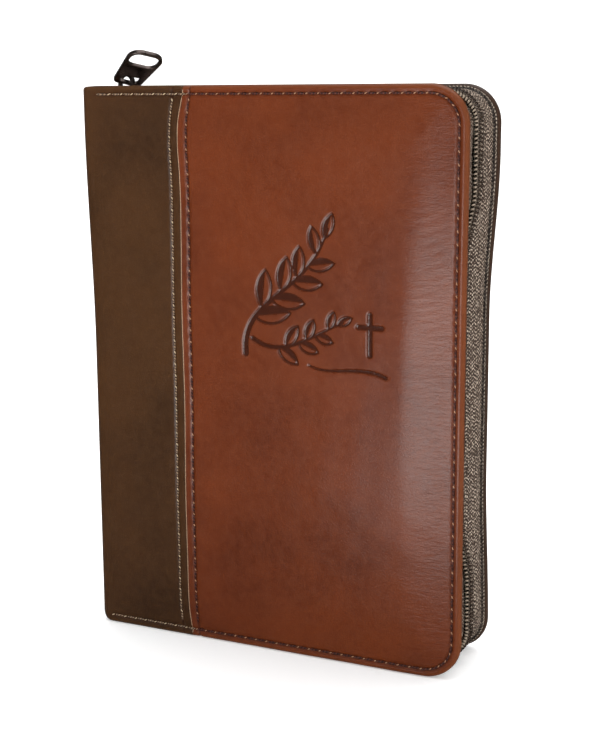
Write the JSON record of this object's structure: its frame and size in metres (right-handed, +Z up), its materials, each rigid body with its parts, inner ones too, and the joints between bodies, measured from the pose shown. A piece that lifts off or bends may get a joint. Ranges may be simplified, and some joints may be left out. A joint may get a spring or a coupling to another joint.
{
  "type": "zip-case bible",
  "caption": "Small bible standing in a two-tone stitched zip case: padded covers that open, turning leaves, zip slider and swinging pull.",
  "frame": {"origin": "middle of the standing book's footprint, at the bottom edges of the covers", "axes": "+Z up the book's height, +X from the spine to the fore-edge, -Y out of the front cover"},
  "size_m": [0.114, 0.029, 0.1699],
  "materials": {
    "tan_leather": "satin imitation leather with a fine grain",
    "dark_leather": "satin imitation leather with a fine grain",
    "foam": "soft closed-cell foam",
    "board": "grey-brown bookbinder's card",
    "lining_cloth": "plain woven lining",
    "paper": "thin cream book paper",
    "zip_tape": "twill zip tape",
    "zip_coil": "nylon coil",
    "thread": "twisted polyester thread",
    "dark_metal": "dark gunmetal plating, glossy",
    "band_cloth": "woven headband cord"
  },
  "bodies": {
    "book_block": {"page_block": "paper", "section_folds": "paper", "mull": "lining_cloth", "hollow_tube": "paper", "headband": "band_cloth", "tailband": "band_cloth", "spine_leather": "dark_leather", "spine_liner": "board"},
    "front_cover": {"front_leather_panel": "tan_leather", "front_spine_flap": "dark_leather", "front_foam_pad": "foam", "front_board": "board", "front_lining": "lining_cloth", "front_pastedown": "paper", "front_zip_tape": "zip_tape", "front_zip_coil": "zip_coil", "front_edge_thread": "thread", "front_seam_thread": "thread", "front_bobbin_thread": "thread"},
    "back_cover": {"back_leather_panel": "tan_leather", "back_spine_flap": "dark_leather", "back_foam_pad": "foam", "back_board": "board", "back_lining": "lining_cloth", "back_pastedown": "paper", "back_zip_tape": "zip_tape", "back_zip_coil": "zip_coil", "back_edge_thread": "thread", "back_seam_thread": "thread", "back_bobbin_thread": "thread", "bottom_stop": "dark_metal"},
    "front_flyleaf": {"front_flyleaf": "paper"},
    "first_section": {"first_section": "paper"},
    "second_section": {"second_section": "paper"},
    "third_section": {"third_section": "paper"},
    "last_section": {"last_section": "paper"},
    "back_flyleaf": {"back_flyleaf": "paper"},
    "zip_slider": {"slider_body": "dark_metal", "slider_crown": "dark_metal"},
    "pull_tab": {"pull_tab": "dark_metal"}
  },
  "joints": [
    {"name": "front_cover_hinge", "type": "hinge", "parent": "book_block", "child": "front_cover", "pos_m": [-0.054, -0.0145, 0], "axis": [0, 0, -1], "range_deg": [0, 165], "deforming": ["front_zip_coil"]},
    {"name": "back_cover_hinge", "type": "hinge", "parent": "book_block", "child": "back_cover", "pos_m": [-0.054, 0.0145, 0], "axis": [0, 0, 1], "range_deg": [0, 165]},
    {"name": "front_flyleaf_turn", "type": "hinge", "parent": "book_block", "child": "front_flyleaf", "pos_m": [-0.049, -0.0111, 0], "axis": [0, 0, -1], "range_deg": [0, 99]},
    {"name": "first_section_turn", "type": "hinge", "parent": "book_block", "child": "first_section", "pos_m": [-0.049, -0.01075, 0], "axis": [0, 0, -1], "range_deg": [0, 49.5]},
    {"name": "second_section_turn", "type": "hinge", "parent": "book_block", "child": "second_section", "pos_m": [-0.049, -0.0086, 0], "axis": [0, 0, -1], "range_deg": [0, 24.75]},
    {"name": "third_section_turn", "type": "hinge", "parent": "book_block", "child": "third_section", "pos_m": [-0.049, -0.00645, 0], "axis": [0, 0, -1], "range_deg": [0, 12.38]},
    {"name": "last_section_turn", "type": "hinge", "parent": "book_block", "child": "last_section", "pos_m": [-0.049, 0.01075, 0], "axis": [0, 0, 1], "range_deg": [0, 49.5]},
    {"name": "back_flyleaf_turn", "type": "hinge", "parent": "book_block", "child": "back_flyleaf", "pos_m": [-0.049, 0.0111, 0], "axis": [0, 0, 1], "range_deg": [0, 99]},
    {"name": "zip_slider_travel", "type": "slide", "parent": "back_cover", "child": "zip_slider", "axis": [1, 0, 0], "range_m": [0, 0.09], "deforming": ["back_zip_coil"]},
    {"name": "pull_tab_swing", "type": "hinge", "parent": "zip_slider", "child": "pull_tab", "pos_m": [-0.0532, 0, 0.16105], "axis": [-0.5677, -0.7973, 0.2051], "range_deg": [-25, 95]}
  ],
  "couplings": [
    {"joint": "front_flyleaf_turn", "follows": "front_cover_hinge", "ratio": 0.6},
    {"joint": "first_section_turn", "follows": "front_cover_hinge", "ratio": 0.3},
    {"joint": "second_section_turn", "follows": "front_cover_hinge", "ratio": 0.15},
    {"joint": "third_section_turn", "follows": "front_cover_hinge", "ratio": 0.075},
    {"joint": "back_flyleaf_turn", "follows": "back_cover_hinge", "ratio": 0.6},
    {"joint": "last_section_turn", "follows": "back_cover_hinge", "ratio": 0.3}
  ]
}
